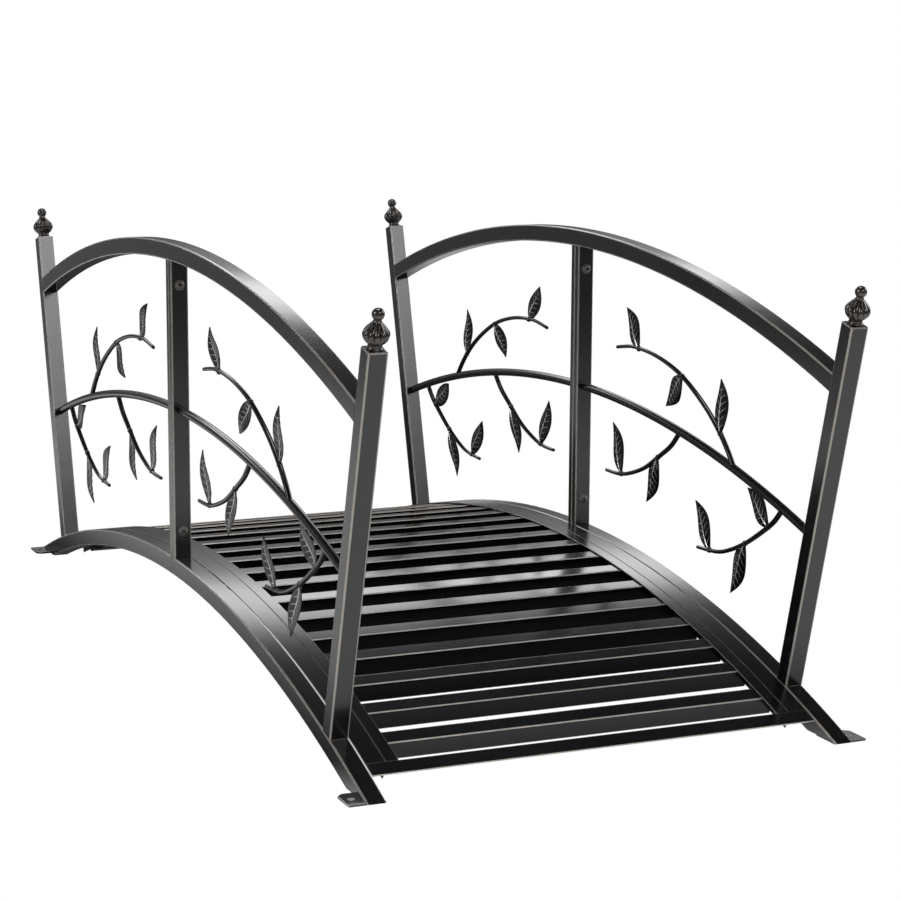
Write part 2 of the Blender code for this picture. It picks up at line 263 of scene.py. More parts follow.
def addPiece(name, mesh, nodes, slot="black_coat", place=None, sharp=34, weighted=True, finish=None, paintedShine=0.6):
    # sharp is the angle past which an edge stays crisp, finish a material that isn't the slot's own, and the last
    # argument how strongly a highlight is painted on the corners
    mesh = moved(mesh, place or Matrix.Identity(4))
    data = bmesh.new()
    data.from_mesh(mesh)
    bmesh.ops.remove_doubles(data, verts=data.verts, dist=2e-6)
    bmesh.ops.recalc_face_normals(data, faces=data.faces)
    if weighted:
        paintCornerHighlights(data, paintedShine)
    data.to_mesh(mesh)
    data.free()
    mesh.materials.clear()
    mesh.materials.append(materials[finish or slot])
    mesh.shade_smooth()
    mesh.set_sharp_from_angle(angle=math.radians(sharp))
    piece = bpy.data.objects.new(name, mesh)
    bpy.context.scene.collection.objects.link(piece)
    if weighted:      # keeps the flats flat in the light, beside their rounded corners
        modifier = piece.modifiers.new("weighted", "WEIGHTED_NORMAL")
        modifier.keep_sharp = True
        piece.data = bpy.data.meshes.new_from_object(piece.evaluated_get(bpy.context.evaluated_depsgraph_get()))
        piece.modifiers.clear()
    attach(piece, "root")
    if nodes:
        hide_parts(*nodes)
    return piece


# Trees for what follows an arc or a path, and for what repeats

def arcTubeTree():
    # A tube along an arc of the XZ plane about the origin, its angles measured from +Z towards +X
    tree, entry = newTree("arcTube", {"Radius": "Float", "First Angle": "Float", "Last Angle": "Float",
                                      "Width": "Float", "Corner": "Float", "Corner Steps": "Int", "Steps": "Int"})
    sweep = addNode(tree, "ShaderNodeMath", {0: entry["Last Angle"], 1: entry["First Angle"]}, operation="SUBTRACT")
    start = addNode(tree, "ShaderNodeMath", {0: math.pi / 2, 1: entry["Last Angle"]}, operation="SUBTRACT")
    arc = addNode(tree, "GeometryNodeCurveArc", {"Resolution": entry["Steps"], "Radius": entry["Radius"],
                                                 "Start Angle": start.outputs[0], "Sweep Angle": sweep.outputs[0]})
    upright = addNode(tree, "GeometryNodeTransform", {"Geometry": arc.outputs["Curve"],
                                                      "Rotation": (math.pi / 2, 0, 0)})
    square = addNode(tree, "GeometryNodeCurvePrimitiveQuadrilateral", {"Width": entry["Width"],
                                                                       "Height": entry["Width"]})
    soft = addNode(tree, "GeometryNodeFilletCurve", {"Curve": square.outputs[0], "Count": entry["Corner Steps"],
                                                     "Radius": entry["Corner"]}, mode="POLY")
    tube = addNode(tree, "GeometryNodeCurveToMesh", {"Curve": upright.outputs[0], "Profile Curve": soft.outputs[0],
                                                     "Fill Caps": True})
    return endTree(tree, entry, tube.outputs[0])


def wireTree():
    # Round wire along smooth curves, with a domed free end
    tree, entry = newTree("wire", {"Radius": "Float", "Tip Share": "Float", "Step": "Float", "Sides": "Int"})
    smooth = addNode(tree, "GeometryNodeCurveSplineType", {"Curve": entry["Geometry"]}, spline_type="CATMULL_ROM")
    even = addNode(tree, "GeometryNodeResampleCurve", {"Curve": smooth.outputs[0], "Length": entry["Step"]},
                   mode="LENGTH")
    along = addNode(tree, "GeometryNodeSplineParameter")
    total = addNode(tree, "GeometryNodeSplineLength")
    left = addNode(tree, "ShaderNodeMath", {0: total.outputs["Length"], 1: along.outputs["Length"]},
                   operation="SUBTRACT")
    share = addNode(tree, "ShaderNodeMath", {0: left.outputs[0], 1: entry["Radius"]}, operation="DIVIDE",
                    use_clamp=True)
    rest = addNode(tree, "ShaderNodeMath", {0: 1.0, 1: share.outputs[0]}, operation="SUBTRACT")
    squared = addNode(tree, "ShaderNodeMath", {0: rest.outputs[0], 1: 2.0}, operation="POWER")
    below = addNode(tree, "ShaderNodeMath", {0: 1.0005, 1: squared.outputs[0]}, operation="SUBTRACT")
    dome = addNode(tree, "ShaderNodeMath", {0: below.outputs[0]}, operation="SQRT")
    circle = addNode(tree, "GeometryNodeCurvePrimitiveCircle", {"Resolution": entry["Sides"],
                                                                "Radius": entry["Radius"]})
    taper = addNode(tree, "ShaderNodeMapRange", {"Value": along.outputs["Factor"], "To Min": 1.0,
                                                 "To Max": entry["Tip Share"]})
    scale = addNode(tree, "ShaderNodeMath", {0: dome.outputs[0], 1: taper.outputs[0]}, operation="MULTIPLY")
    wire = addNode(tree, "GeometryNodeCurveToMesh", {"Curve": even.outputs[0], "Profile Curve": circle.outputs[0],
                                                     "Scale": scale.outputs[0], "Fill Caps": True})
    return endTree(tree, entry, wire.outputs[0])


def copiesTree():
    # Copies one object onto points that carry their own turn and size
    tree, entry = newTree("copies", {"Original": "Object"})
    original = addNode(tree, "GeometryNodeObjectInfo", {"Object": entry["Original"]})
    turn = addNode(tree, "GeometryNodeInputNamedAttribute", {"Name": "turn"}, data_type="FLOAT_VECTOR")
    size = addNode(tree, "GeometryNodeInputNamedAttribute", {"Name": "size"}, data_type="FLOAT_VECTOR")
    points = addNode(tree, "GeometryNodeMeshToPoints", {"Mesh": entry["Geometry"]})
    copies = addNode(tree, "GeometryNodeInstanceOnPoints", {
        "Points": points.outputs[0], "Instance": original.outputs["Geometry"],
        "Rotation": turn.outputs["Attribute"], "Scale": size.outputs["Attribute"]})
    return endTree(tree, entry, copies.outputs[0])


def slatRowTree():
    # One slat copied at an even pitch along the arc of the deck, each square to it
    tree, entry = newTree("slatRow", {"Slat": "Object", "Count": "Int", "First": "Float", "Pitch": "Float",
                                      "Radius": "Float", "Crown": "Float", "Below": "Float"})
    index = addNode(tree, "GeometryNodeInputIndex")
    run = addNode(tree, "ShaderNodeMath", {0: index.outputs[0], 1: entry["Pitch"], 2: entry["First"]},
                  operation="MULTIPLY_ADD")
    angle = addNode(tree, "ShaderNodeMath", {0: run.outputs[0], 1: entry["Radius"]}, operation="DIVIDE")
    sine = addNode(tree, "ShaderNodeMath", {0: angle.outputs[0]}, operation="SINE")
    cosine = addNode(tree, "ShaderNodeMath", {0: angle.outputs[0]}, operation="COSINE")
    reach = addNode(tree, "ShaderNodeMath", {0: entry["Radius"], 1: entry["Below"]}, operation="SUBTRACT")
    along = addNode(tree, "ShaderNodeMath", {0: sine.outputs[0], 1: reach.outputs[0]}, operation="MULTIPLY")
    centre = addNode(tree, "ShaderNodeMath", {0: entry["Crown"], 1: entry["Radius"]}, operation="SUBTRACT")
    height = addNode(tree, "ShaderNodeMath", {0: cosine.outputs[0], 1: reach.outputs[0], 2: centre.outputs[0]},
                     operation="MULTIPLY_ADD")
    spot = addNode(tree, "ShaderNodeCombineXYZ", {"X": along.outputs[0], "Z": height.outputs[0]})
    turn = addNode(tree, "ShaderNodeCombineXYZ", {"Y": angle.outputs[0]})
    points = addNode(tree, "GeometryNodePoints", {"Count": entry["Count"], "Position": spot.outputs[0]})
    slat = addNode(tree, "GeometryNodeObjectInfo", {"Object": entry["Slat"]})
    copies = addNode(tree, "GeometryNodeInstanceOnPoints", {
        "Points": points.outputs[0], "Instance": slat.outputs["Geometry"], "Rotation": turn.outputs[0]})
    return endTree(tree, entry, copies.outputs[0])


arcTube, wire, copiesOf, slatRow = arcTubeTree(), wireTree(), copiesTree(), slatRowTree()


def pointSet(spots):
    # Each spot is a place, and the turn and size of the copy that stands there
    mesh = bpy.data.meshes.new("spots")
    mesh.from_pydata([tuple(place) for place, _, _ in spots], [], [])
    for name, column in (("turn", 1), ("size", 2)):
        values = mesh.attributes.new(name, "FLOAT_VECTOR", "POINT")
        values.data.foreach_set("vector", [float(v) for spot in spots for v in spot[column]])
    return mesh


def copyOnto(original, spots):
    source = helperObject("original", original)
    mesh = growMesh(copiesOf, {"Original": source}, pointSet(spots))
    bpy.data.objects.remove(source, do_unlink=True)
    return mesh


def splines(paths):
    curve = bpy.data.curves.new("paths", "CURVE")
    curve.dimensions = "3D"
    for path in paths:
        spline = curve.splines.new("POLY")
        spline.points.add(len(path) - 1)
        spline.points.foreach_set("co", [v for x, z in path for v in (x, 0, z, 1)])
    return curve


def postLine():
    # Foot of the end post on the beam, the way up it and the way out of its outer face
    angle, lean = math.radians(bridge["postAngle"]), math.radians(bridge["postLean"])
    foot = Vector((bridge["deckRadius"] * math.sin(angle), 0,
                   bridge["deckCrown"] - bridge["deckRadius"] * (1 - math.cos(angle))))
    return foot, Vector((math.sin(lean), 0, math.cos(lean))), Vector((math.cos(lean), 0, -math.sin(lean)))


postFoot, postUp, postOut = postLine()
postTurn = Matrix.Rotation(math.radians(bridge["postLean"]), 4, "Y")


# Lower beams with their foot plates

footPlate = {"length": 0.044, "reach": 0.022, "thick": 0.003, "cutCorner": 0.007, "cornerRadius": 0.0012,
             "hole": 0.009, "setback": 0.021, "edge": 0.0005}


def platePiece(outward):
    inner, outer = -bridge["tube"] / 2, bridge["tube"] / 2 + footPlate["reach"]
    long, cut = footPlate["length"], footPlate["cutCorner"]
    corners = [(0, inner), (0, outer), (cut - long, outer), (-long, outer - cut), (-long, inner)]
    middle = (-footPlate["setback"], bridge["tube"] / 2 + footPlate["reach"] / 2)
    hole = [(middle[0] + footPlate["hole"] / 2 * math.cos(t), middle[1] + footPlate["hole"] / 2 * math.sin(t))
            for t in np.linspace(0, 2 * math.pi, 40, endpoint=False)]
    curve = bpy.data.curves.new("plate", "CURVE")      # a filled flat curve, so that the hole has softened rims too
    curve.dimensions = "2D"
    curve.fill_mode = "BOTH"
    curve.offset = -footPlate["edge"]
    curve.extrude = footPlate["thick"] / 2 - footPlate["edge"]
    curve.bevel_depth = footPlate["edge"]
    curve.bevel_resolution = 2
    for outline in (roundedOutline(corners, footPlate["cornerRadius"], 3), hole):
        spline = curve.splines.new("POLY")
        spline.points.add(len(outline) - 1)
        spline.points.foreach_set("co", [v for x, y in outline for v in (x, outward * y, 0, 1)])
        spline.use_cyclic_u = True
    holder = helperObject("plateCurve", curve)
    mesh = bpy.data.meshes.new_from_object(holder.evaluated_get(bpy.context.evaluated_depsgraph_get()))
    bpy.data.objects.remove(holder, do_unlink=True)
    toe = bridge["deckRadius"] * math.sin(math.acos((bridge["deckRadius"] - bridge["deckCrown"] + footPlate["thick"])
                                                    / bridge["deckRadius"]))
    mesh.transform(Matrix.Translation((toe, 0, footPlate["thick"] / 2)))
    return mesh


def tubeAlongArc(radius, centre, firstAngle, lastAngle, width=None, corner=None, cornerSteps=5, steps=90):
    # radius is that of the tube's outer face, centre the height of the arc's centre
    width = width or bridge["tube"]
    mesh = growMesh(arcTube, {"Radius": radius - width / 2, "First Angle": firstAngle, "Last Angle": lastAngle,
                              "Width": width, "Corner": corner or bridge["tubeCorner"], "Corner Steps": cornerSteps,
                              "Steps": steps, "Material": materials["black_coat"]})
    mesh.transform(Matrix.Translation((0, 0, centre)))
    return mesh


deckCentre, railCentre = bridge["deckCrown"] - bridge["deckRadius"], bridge["railCrown"] - bridge["railRadius"]
footLevel = footPlate["thick"] / 2
beamEnd = math.acos((footLevel - deckCentre - bridge["tube"] * 1.1) / bridge["deckRadius"])      # past the cut
beamMesh = cutOff(tubeAlongArc(bridge["deckRadius"], deckCentre, bridge["halfGap"], beamEnd),
                  (0, 0, footLevel), (0, 0, -1))
for name, side, end in quarters:
    addPiece(f"beam_{name}", joined([beamMesh, platePiece(side * end)]), [f"{name}_beam"],
             place=quarterPlace(side, end))
print("lower beams and foot plates")


# Handrails, end posts and finials

innerFace = postFoot - postOut * (bridge["tube"] / 2 - bridge["sunk"])      # where the rails meet the end post
handrailMesh = cutOff(tubeAlongArc(bridge["railRadius"], railCentre, bridge["halfGap"],
                                   math.radians(bridge["handrailSpan"])), innerFace, postOut)
postShape = {"buried": 0.0015, "topEdge": 0.002}
postMesh = roundedBar(bridge["tube"], bridge["tube"], -postShape["buried"], bridge["postLength"],
                      bridge["tubeCorner"], postShape["topEdge"])
postMesh.transform(Matrix.Translation(postFoot) @ postTurn)

# Height above the post against radius, before the flutes are cut; the flutes fade out above and below the bulb
finialShape = {
    "profile": [(0.0000, 0.0092), (0.0006, 0.0098), (0.0018, 0.0098), (0.0030, 0.0089), (0.0045, 0.0085),
                (0.0058, 0.0088), (0.0075, 0.0100), (0.0095, 0.0123), (0.0130, 0.0149), (0.0175, 0.0162),
                (0.0215, 0.0154), (0.0255, 0.0127), (0.0300, 0.0086), (0.0328, 0.0060), (0.0343, 0.0050),
                (0.0352, 0.0047), (0.0361, 0.0050), (0.0374, 0.0060), (0.0392, 0.0070), (0.0420, 0.0076),
                (0.0448, 0.0070), (0.0470, 0.0057), (0.0486, 0.0038), (0.0495, 0.0012)],
    "flutes": 12, "fluteDepth": 0.0026, "fluteFrom": 0.0095, "fluteTo": 0.0350, "fluteFade": 0.6, "lobe": 0.7,
    "bulbRadius": 0.0162, "around": 144,
}


def smoothLine(points, finer=4):
    # Catmull-Rom through the points
    path = [points[0], *points, points[-1]]
    smooth = []
    for i in range(1, len(path) - 2):
        a, b, c, d = (np.array(path[i + k]) for k in (-1, 0, 1, 2))
        for t in np.arange(finer) / finer:
            smooth.append(b + 0.5 * t * (c - a + t * (2 * a - 5 * b + 4 * c - d + t * (3 * (b - c) + d - a))))
    return [*smooth, np.array(points[-1])]


def finialMesh():
    turns = np.linspace(0, 2 * math.pi, finialShape["around"], endpoint=False)
    groove = 1 - np.abs(np.sin(finialShape["flutes"] * turns / 2)) ** finialShape["lobe"]
    rings = []
    for height, radius in smoothLine(finialShape["profile"]):
        share = (height - finialShape["fluteFrom"]) / (finialShape["fluteTo"] - finialShape["fluteFrom"])
        fade = max(0.0, math.sin(math.pi * min(max(share, 0), 1))) ** finialShape["fluteFade"]
        reach = radius - finialShape["fluteDepth"] * fade * groove * min(1.0, radius / finialShape["bulbRadius"])
        rings.append(np.stack([reach * np.cos(turns), reach * np.sin(turns), np.full_like(turns, height)], axis=1))
    return ringStack(rings)


finial = finialMesh()
finial.transform(Matrix.Translation(postFoot + postUp * bridge["postLength"]) @ postTurn)
for name, side, end in quarters:
    place = quarterPlace(side, end)
    addPiece(f"handrail_{name}", handrailMesh, [f"{name}_handrail"], place=place)
    addPiece(f"post_{name}", postMesh, [f"{name}_post"], place=place)
    addPiece(f"finial_{name}", finial, [f"{name}_finial"], slot="finial_enamel", place=place, sharp=50,
             weighted=False)
print("handrails, end posts and finials")


# Centre bars, bolted together in pairs

centreBar = {"width": 0.0125, "corner": 0.0018, "edge": 0.0003, "gap": 0.0001, "boltHeights": (0.1794, 0.5313),
             "headRadius": 0.0062, "headHeight": 0.0034, "headRim": 0.0004, "domeAngle": 1.25, "socket": 0.0022,
             "socketDeep": 0.002, "washerRadius": 0.0076, "washer": 0.0012, "nut": 0.0063, "nutHeight": 0.005,
             "nutBevel": 0.0006, "threadRadius": 0.0030, "threadEnd": 0.0020}
barMesh = roundedBar(centreBar["width"] - 2 * centreBar["gap"], bridge["tube"], bridge["deckCrown"] - bridge["sunk"],
                     bridge["railCrown"] - bridge["tube"] + bridge["sunk"], centreBar["corner"], centreBar["edge"])
barMesh.transform(Matrix.Translation((centreBar["width"] / 2 + centreBar["gap"], 0, 0)))


def hexReach(turns, apothem):
    return apothem / np.cos((turns + math.pi / 6) % (math.pi / 3) - math.pi / 6)


def turnedRings(steps, turns):
    # Each step is (height, radius) or (height, reach for every turn)
    return ringStack([np.stack([reach * np.cos(turns), reach * np.sin(turns), np.full_like(turns, height)], axis=1)
                      for height, reach in steps])


def boltMeshes():
    # Domed socket head and washer on one face of the pair, nut, washer and bolt end on the other
    turns = np.linspace(0, 2 * math.pi, 72, endpoint=False)
    one = np.ones_like(turns)
    face, washer = centreBar["width"], centreBar["washer"]
    disc = [(0, 0.6), (0, 0.97), (0.15, 1.0), (0.85, 1.0), (1.0, 0.97), (1.0, 0.6)]
    ring = turnedRings([(face + h * washer, r * centreBar["washerRadius"] * one) for h, r in disc], turns)
    low, high = face + washer, face + washer + centreBar["headHeight"]
    rimTop, last = low + centreBar["headRim"], centreBar["domeAngle"]
    dome = [(low, centreBar["headRadius"] * 0.97 * one), (rimTop, centreBar["headRadius"] * one)]
    for turn in np.linspace(0.15, last, 9):
        dome.append((rimTop + (high - rimTop) * math.sin(turn) / math.sin(last),
                     centreBar["headRadius"] * math.cos(turn) ** 0.7 * one))
    hexagon, floor = hexReach(turns, centreBar["socket"]), high - centreBar["socketDeep"]
    dome += [(high, hexagon * 1.08), (high - 0.0002, hexagon), (floor, hexagon), (floor - 0.0001, hexagon * 0.9)]
    nutReach = hexReach(turns, centreBar["nut"])
    nutRim = np.minimum(nutReach, centreBar["nut"] * 1.06)      # the bevel cuts the points of the hexagon
    top, bevel = low + centreBar["nutHeight"], centreBar["nutBevel"]
    nut = [(low, nutRim), (low + bevel, nutReach), (top - bevel, nutReach), (top, nutRim)]
    thread, tip = centreBar["threadRadius"], top + centreBar["threadEnd"]
    end = [(top, thread * one), (tip - 0.0005, thread * one), (tip, (thread - 0.0005) * one)]
    outward = Matrix.Rotation(math.pi / 2, 4, "Y")
    inward = Matrix.Rotation(-math.pi / 2, 4, "Y")
    head = moved(joined([ring, turnedRings(dome, turns)]), outward)
    back = moved(joined([ring, turnedRings(nut, turns), turnedRings(end, turns)]), inward)
    return [head, back]


boltSet = joined(boltMeshes())
for name, side, end in quarters:
    addPiece(f"centre_bar_{name}", barMesh, [f"{name}_centre_bar"], place=quarterPlace(side, end))
for name, side in (("left", -1), ("right", 1)):
    addPiece(f"bolts_{name}", copyOnto(boltSet, [((0, side * railOffset, height), (0, 0, 0), (1, 1, 1))
                                                 for height in centreBar["boltHeights"]]), [], sharp=40, paintedShine=0.2)
print("centre bars and bolts")


# The deck: side rails, end bars and slats

deckFrame = {"angle": 19.14, "thick": 0.002, "outerBar": 0.026, "innerBar": 0.017, "leg": 0.0245, "seam": 0.0007,
             "seamDepth": 0.0011, "edge": 0.0005, "seamEdge": 0.0003, "seamFloor": 0.0001, "endBar": 0.0245,
             "endBarCorner": 0.0006, "endGap": 0.0002,
             "endDrop": 0.00003}      # keeps the end bar a hair below the rails' top faces
endBarAngle = math.radians(deckFrame["angle"]) - math.asin(deckFrame["endBar"] / 2 / bridge["deckRadius"])


def onDeck(angle, below=0.0):
    return Vector((math.sin(angle), 0, math.cos(angle))) * (bridge["deckRadius"] - below) + Vector((0, 0, deckCentre))


def deckRailMesh(outward):
    top, thick = bridge["deckRadius"], deckFrame["thick"]
    outer = deckInner - railOffset
    meet = outer - deckFrame["outerBar"]
    inner = meet - deckFrame["innerBar"]
    seam = deckFrame["seam"]
    foot = top - deckFrame["leg"]
    corners = [(outer, top), (outer, top - thick), (meet + thick, top - thick), (meet + thick, foot), (meet, foot),
               (meet, top - thick), (inner, top - thick), (inner, top), (meet - seam, top),
               (meet, top - deckFrame["seamDepth"]), (meet + seam, top)]
    edge = deckFrame["edge"]
    seamRadii = [deckFrame["seamEdge"], deckFrame["seamFloor"], deckFrame["seamEdge"]]
    outline = roundedOutline(corners, [edge] * (len(corners) - len(seamRadii)) + seamRadii, 3)
    angles = np.linspace(bridge["halfGap"], endBarAngle + 0.004, 90)      # past the end bar, where it is cut
    rings = [[(radius * math.sin(angle), outward * y, radius * math.cos(angle)) for y, radius in outline]
             for angle in angles]
    mesh = ringStack(rings)
    mesh.transform(Matrix.Translation((0, 0, deckCentre)))
    out = Vector((math.cos(endBarAngle), 0, -math.sin(endBarAngle)))
    return cutOff(mesh, onDeck(endBarAngle) - out * (deckFrame["endBar"] / 2 + deckFrame["endGap"]), out)


for name, side, end in quarters:
    addPiece(f"deck_rail_{name}", deckRailMesh(side * end), [f"{name}_deck_rail"], place=quarterPlace(side, end))


def lyingBar(width, length, height, corner, edge):
    # A bar across the bridge, its top face on z = 0
    mesh = roundedBar(width, height, -length / 2, length / 2, corner, edge)
    mesh.transform(Matrix.Translation((0, 0, -height / 2)) @ Matrix.Rotation(math.pi / 2, 4, "X"))
    return mesh


endBarMesh = lyingBar(deckFrame["endBar"], 2 * deckInner, deckFrame["thick"], deckFrame["endBarCorner"],
                      deckFrame["edge"])
endBarPlace = Matrix.Translation(onDeck(endBarAngle, deckFrame["endDrop"])) @ Matrix.Rotation(endBarAngle, 4, "Y")
for name, turn in (("front", 0), ("back", math.pi)):
    addPiece(f"end_bar_{name}", endBarMesh, [f"{name}_end_bar"], place=Matrix.Rotation(turn, 4, "Z") @ endBarPlace,
             paintedShine=1.0)

slats = {"width": 0.025, "height": 0.025, "corner": 0.0014, "edge": 0.0004, "endGap": 0.0002, "topGap": 0.0003,
         "pitch": 0.0685, "first": 0.0320, "perHalf": 10}
slatReach = deckInner - deckFrame["outerBar"] - slats["endGap"]      # the slats pass under the inner bars
slatSource = helperObject("slat", lyingBar(slats["width"], 2 * slatReach, slats["height"], slats["corner"],
                                           slats["edge"]))
halfRow = growMesh(slatRow, {"Slat": slatSource, "Count": slats["perHalf"], "First": slats["first"],
                             "Pitch": slats["pitch"], "Radius": bridge["deckRadius"],
                             "Crown": bridge["deckCrown"], "Below": deckFrame["thick"] + slats["topGap"],
                             "Material": materials["black_coat"]})
bpy.data.objects.remove(slatSource, do_unlink=True)
addPiece("deck_slats", joined([halfRow, moved(halfRow, Matrix.Rotation(math.pi, 4, "Z"))]),
         [f"{end}_slat_{i:02d}" for end in ("front", "back") for i in range(1, slats["perHalf"] + 1)], paintedShine=1.0)
print("deck frame and slats")


# Middle rails with their branches and leaves

vine = {
    "rod": 0.012, "stem": 0.0076, "stemTip": 0.0052, "step": 0.0016, "sides": 20,
    # root x on the middle rail, bends (x, z), then leaves as (share of the way along, x and z of the tip)
    "branches": [
        (0.468, [(0.450, 0.325), (0.427, 0.347), (0.396, 0.370), (0.355, 0.393), (0.311, 0.412), (0.266, 0.424),
                 (0.220, 0.431), (0.170, 0.433), (0.135, 0.429), (0.117, 0.426)],
         [(0.82, 0.148, 0.488), (0.48, 0.272, 0.361), (0.15, 0.427, 0.421)]),
        (0.315, [(0.290, 0.307), (0.257, 0.287), (0.212, 0.262), (0.166, 0.246), (0.130, 0.239), (0.088, 0.238)],
         [(0.80, 0.110, 0.313), (0.32, 0.219, 0.213)]),
        (0.596, [(0.574, 0.251), (0.540, 0.229), (0.502, 0.208), (0.462, 0.191), (0.425, 0.181), (0.370, 0.177)],
         [(0.19, 0.505, 0.285), (0.86, 0.364, 0.242), (0.46, 0.466, 0.132)])],
}
leaf = {"width": 0.034, "length": 0.075, "thick": 0.0018, "rimThinner": 0.55, "stalk": 0.0012, "fold": 0.0022,
        "wave": 0.0015, "vein": 0.0010, "veinWidth": 0.0009, "midrib": 1.3, "sideVein": 0.75, "sideVeins": 6,
        "firstVein": 0.10, "lastVein": 0.78, "veinAngle": 56.0, "rows": 84, "columns": 44}


def leafMesh():
    # A pressed leaf that stands on its root: ridged midrib and side veins on both faces, edges turned back a little
    share = np.linspace(0, 1, leaf["rows"])[:, None]
    across = np.linspace(-1, 1, leaf["columns"])[None, :]
    half = leaf["width"] / 2 * np.maximum(np.sin(np.pi * share ** 0.87), 0.0) ** 0.92      # widest below the middle
    half = np.maximum(half + leaf["stalk"] * (1 - share) ** 6, 0.0002)
    x = across * half
    z = share * leaf["length"] + 0 * across
    ridge = np.exp(-(x / (leaf["veinWidth"] * (1.6 - share))) ** 2) * (1 - share ** 3) * leaf["midrib"]
    slope = 1 / math.tan(math.radians(leaf["veinAngle"]))
    for start in np.linspace(leaf["firstVein"], leaf["lastVein"], leaf["sideVeins"]):
        off = (z - start * leaf["length"] - np.abs(x) * slope) * math.sin(math.radians(leaf["veinAngle"]))
        side = leaf["sideVein"] * np.exp(-(off / leaf["veinWidth"]) ** 2) * (1 - np.abs(across) ** 4)
        ridge = np.maximum(ridge, side)
    bend = leaf["wave"] * np.sin(2 * math.pi * share) - leaf["fold"] * np.abs(across) ** 1.3 * np.sin(np.pi * share)
    body = leaf["thick"] / 2 * (1 - leaf["rimThinner"] * across ** 6)
    upper = bend + body + leaf["vein"] * ridge
    lower = bend - body - leaf["vein"] * 0.5 * ridge
    rings = []
    for i in range(leaf["rows"]):
        top = np.stack([x[i], upper[i], z[i]], axis=1)
        bottom = np.stack([x[i], lower[i], z[i]], axis=1)[::-1]
        rings.append(np.concatenate([top, bottom]))
    mesh = ringStack(rings)
    raised = np.concatenate([ridge, ridge[:, ::-1]], axis=1).ravel()
    # The crests of the veins get a painted highlight in the finish
    veinHighlight = np.clip(1.5 * raised - 0.6, 0, 1)      # only the crests of the veins catch the light
    mesh.attributes.new("corner", "FLOAT", "POINT").data.foreach_set("value", veinHighlight)
    return mesh


def alongPath(path, share):
    runs = [math.dist(a, b) for a, b in zip(path, path[1:])]
    left = share * sum(runs)
    for a, b, run in zip(path, path[1:], runs):
        if left <= run:
            return Vector(a).lerp(Vector(b), left / run)
        left -= run
    return Vector(path[-1])


def onMiddleRail(x):
    return bridge["middleCrown"] - bridge["middleRadius"] + math.sqrt(bridge["middleRadius"] ** 2 - x ** 2)


leafSource, middleCentre = leafMesh(), bridge["middleCrown"] - bridge["middleRadius"]
rodMesh = cutOff(tubeAlongArc(bridge["middleRadius"] + vine["rod"] / 2, middleCentre, bridge["midRailGap"],
                              math.radians(bridge["midRailSpan"]), vine["rod"], vine["rod"] / 2 * 0.999, 8),
                 innerFace, postOut)
paths = [[(rootX, onMiddleRail(rootX)), *bends] for rootX, bends, _ in vine["branches"]]
wireMesh = growMesh(wire, {"Radius": vine["stem"] / 2, "Tip Share": vine["stemTip"] / vine["stem"],
                           "Step": vine["step"], "Sides": vine["sides"], "Material": materials["black_coat"]},
                    splines(paths))
nub = {"length": 0.009, "width": 0.0078, "sides": 24, "rings": 19, "lump": 0.06, "lumps": 9, "sunk": 0.0005,
       "rootSize": (1.15, 1.25, 1.3), "leafSize": (1, 1.05, 1)}      # sizes against the dimensions here


def nubMesh():
    # A bead of weld, slightly uneven, with its long axis along z
    turns = np.linspace(0, 2 * math.pi, nub["sides"], endpoint=False)
    rings = []
    for slide in np.linspace(-1, 1, nub["rings"]):
        lump = 1 + nub["lump"] * math.sin(nub["lumps"] * slide)
        reach = nub["width"] / 2 * max(1 - slide ** 2, 0.0004) ** 0.5 * lump
        rings.append(np.stack([reach * np.cos(turns), reach * np.sin(turns),
                               np.full_like(turns, slide * nub["length"] / 2)], axis=1))
    return ringStack(rings)


nubSource = nubMesh()
for name, side, end in quarters:
    outward = side * end
    leafSpots, nubSpots = [], []
    for path, (rootX, bends, leaves) in zip(paths, vine["branches"]):
        nubSpots.append(((rootX, 0, onMiddleRail(rootX) - nub["sunk"]), (0, math.pi / 2, 0), nub["rootSize"]))
        for share, tipX, tipZ in leaves:
            root = alongPath(path, share)
            run = Vector((tipX, tipZ)) - root
            lean = math.atan2(run.x, run.y)
            leafSpots.append(((root.x, 0, root.y), (0, lean, 0), (1, -outward, run.length / leaf["length"])))
            nubSpots.append(((root.x, 0, root.y), (0, lean, 0), nub["leafSize"]))
    place = quarterPlace(side, end)
    addPiece(f"vine_{name}", joined([rodMesh, wireMesh, copyOnto(nubSource, nubSpots)]), [f"{name}_vine"],
             place=place, weighted=False)
    addPiece(f"leaves_{name}", copyOnto(leafSource, leafSpots), [], place=place, weighted=False, sharp=60,
             finish="leaf")
print("middle rails, branches and leaves")


# The studio

studio = {
    "floorRadius": 12.0, "floorDrop": 0.0005,
    # How bright the floor looks in the paint: beside and behind the bridge, before its front end, far off and in its
    # shade, and where the one passes into the other
    "floorSide": 0.85, "floorFront": 1.4, "floorFar": 0.24, "floorShade": 0.07, "frontEdge": (0.3, 0.9),
    "farEdge": (1.3, 3.6), "shadeX": (-3.2, 0.67), "shadeY": (-0.46, 0.70), "shadeEdge": 0.12,
    # Room light by the sine of the height that it comes from
    "room": [(0.0, 0.10), (0.087, 0.17), (0.174, 0.33), (0.24, 0.42), (0.42, 0.42), (0.55, 0.13), (0.66, 0.05)],
    # Bearing and height of the middle, half width, half height and soft edge in degrees, and brightness against white
    "softboxes": {
        "backStrip": (174, 26.5, 25, 4.2, 3.9, 4.2),
        "frontKey": (12, 24, 16, 4.4, 3.2, 8),
        "leftSide": (-88, 20, 12, 12, 3, 8),
        "rightSide": (95, 22, 12, 12, 3, 7),
    },
    "boxTint": "#fdfdff",
    "overhead": {"height": 5.0, "width": 2.2, "length": 2.6, "brightness": 7},
}


